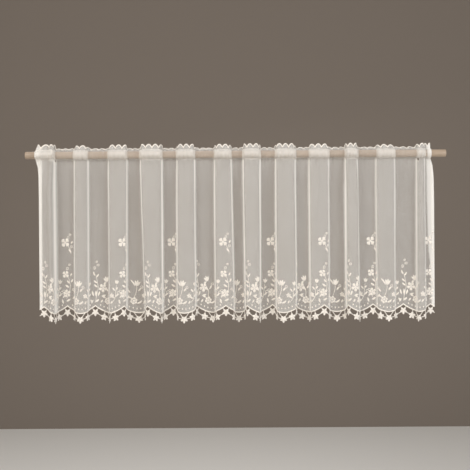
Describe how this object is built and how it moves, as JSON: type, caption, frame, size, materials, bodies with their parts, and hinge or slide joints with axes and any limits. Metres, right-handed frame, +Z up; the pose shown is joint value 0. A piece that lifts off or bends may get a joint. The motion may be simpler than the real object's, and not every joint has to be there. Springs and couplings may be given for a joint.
{
  "type": "cafe curtain on a rod",
  "caption": "Sheer net cafe curtain with a scalloped heading and a star-flower lace edge, gathered in folds on a round wooden rod.",
  "frame": {"origin": "middle of the rod's left end face", "axes": "+X along the rod to its right end, -Y towards the room, +Z up"},
  "size_m": [1.03, 0.0473, 0.4385],
  "materials": {
    "rod": "plain pale wood, satin",
    "net": "sheer net with white embroidery",
    "lace": "openwork lace with a satin cord"
  },
  "bodies": {
    "root": {"rod": "rod", "panel": "net", "lace_edging": "lace"}
  },
  "joints": []
}
